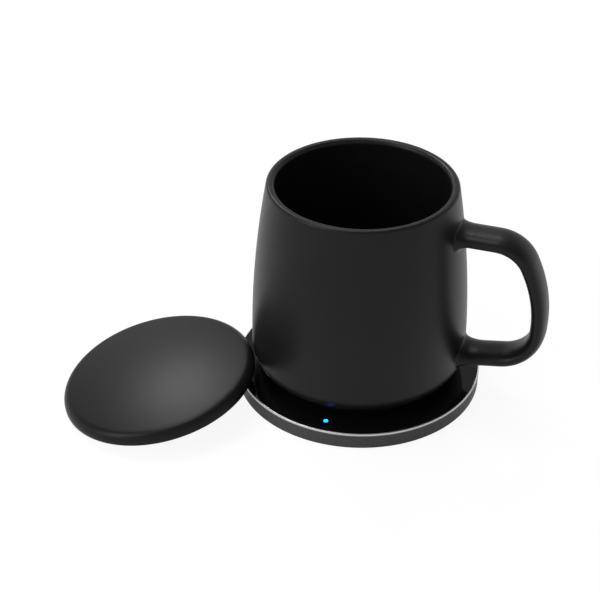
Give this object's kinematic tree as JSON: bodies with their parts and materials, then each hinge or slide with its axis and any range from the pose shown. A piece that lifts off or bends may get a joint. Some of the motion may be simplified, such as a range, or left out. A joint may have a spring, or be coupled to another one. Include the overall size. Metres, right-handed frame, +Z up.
{
  "type": "self-heating mug",
  "caption": "Matte black heated mug with a rounded handle on a round charging coaster, its domed lid leaning beside it; mug and lid lift off.",
  "frame": {"origin": "centre of the coaster's underside, on the table and on the mug's axis", "axes": "+Z up along the mug's axis, +X towards the handle, -Y towards the status light, +Y towards the power socket"},
  "size_m": [0.2089, 0.1463, 0.1017],
  "materials": {
    "foot_silicone": "matte silicone",
    "base_plastic": "fine moulded texture",
    "side_grey": "dark grey, finely brushed",
    "trim_bright": "bright polished edge",
    "panel_black": "gloss black",
    "tape": "foam tape",
    "screw_steel": "satin",
    "inner_plastic": "natural moulded plastic",
    "ferrite": "matte",
    "copper_wire": "enamelled litz wire",
    "sensor_epoxy": "epoxy bead",
    "board_green": "solder mask",
    "chips_black": "moulded packages",
    "socket_steel": "satin",
    "led_white": "moulded lens",
    "light_guide": "clear, lit blue",
    "ribbon": "flexible circuit",
    "mug_black": "matte black glaze",
    "spreader": "satin",
    "heater_film": "polyimide film",
    "foam": "insulating foam",
    "lead_red": "silicone insulation",
    "cell_foil": "laminate foil",
    "bond": "silicone adhesive",
    "lid_black": "matte black",
    "seal_silicone": "translucent grey silicone",
    "liner_black": "satin black"
  },
  "bodies": {
    "coaster": {"foot_pad": "foot_silicone", "base_plate": "base_plastic", "side_ring": "side_grey", "trim_ring": "trim_bright", "top_panel": "panel_black", "panel_tape": "tape", "case_screws": "screw_steel", "coil_carrier": "inner_plastic", "charging_ferrite": "ferrite", "charging_coil": "copper_wire", "charging_coil_leads": "copper_wire", "panel_sensor": "sensor_epoxy", "main_board": "board_green", "main_board_parts": "chips_black", "board_screws": "screw_steel", "power_socket": "socket_steel", "led_board": "board_green", "status_led": "led_white", "light_guide": "light_guide", "led_ribbon": "ribbon", "ribbon_connectors": "inner_plastic"},
    "mug": {"mug_shell": "mug_black", "handle": "mug_black", "heat_spreader": "spreader", "heater_film": "heater_film", "insulation": "foam", "mug_sensor": "sensor_epoxy", "heater_leads": "lead_red", "battery_cells": "cell_foil", "chassis": "inner_plastic", "bond_ring": "bond", "mug_board": "board_green", "mug_board_parts": "chips_black", "mug_board_screws": "screw_steel", "receiver_ferrite": "ferrite", "receiver_coil": "copper_wire", "receiver_leads": "copper_wire", "base_gasket": "foot_silicone", "base_cover": "base_plastic", "cover_screws": "screw_steel", "foot_ring": "foot_silicone"},
    "lid": {"lid_shell": "lid_black", "lid_seal": "seal_silicone", "lid_liner": "liner_black"}
  },
  "joints": [
    {"name": "mug_lift", "type": "slide", "parent": "coaster", "child": "mug", "axis": [0, 0, 1], "range_m": [0, 0.12]},
    {"name": "lid_away", "type": "slide", "parent": "coaster", "child": "lid", "axis": [-0.6124, -0.3536, 0.7071], "range_m": [0, 0.12]}
  ]
}
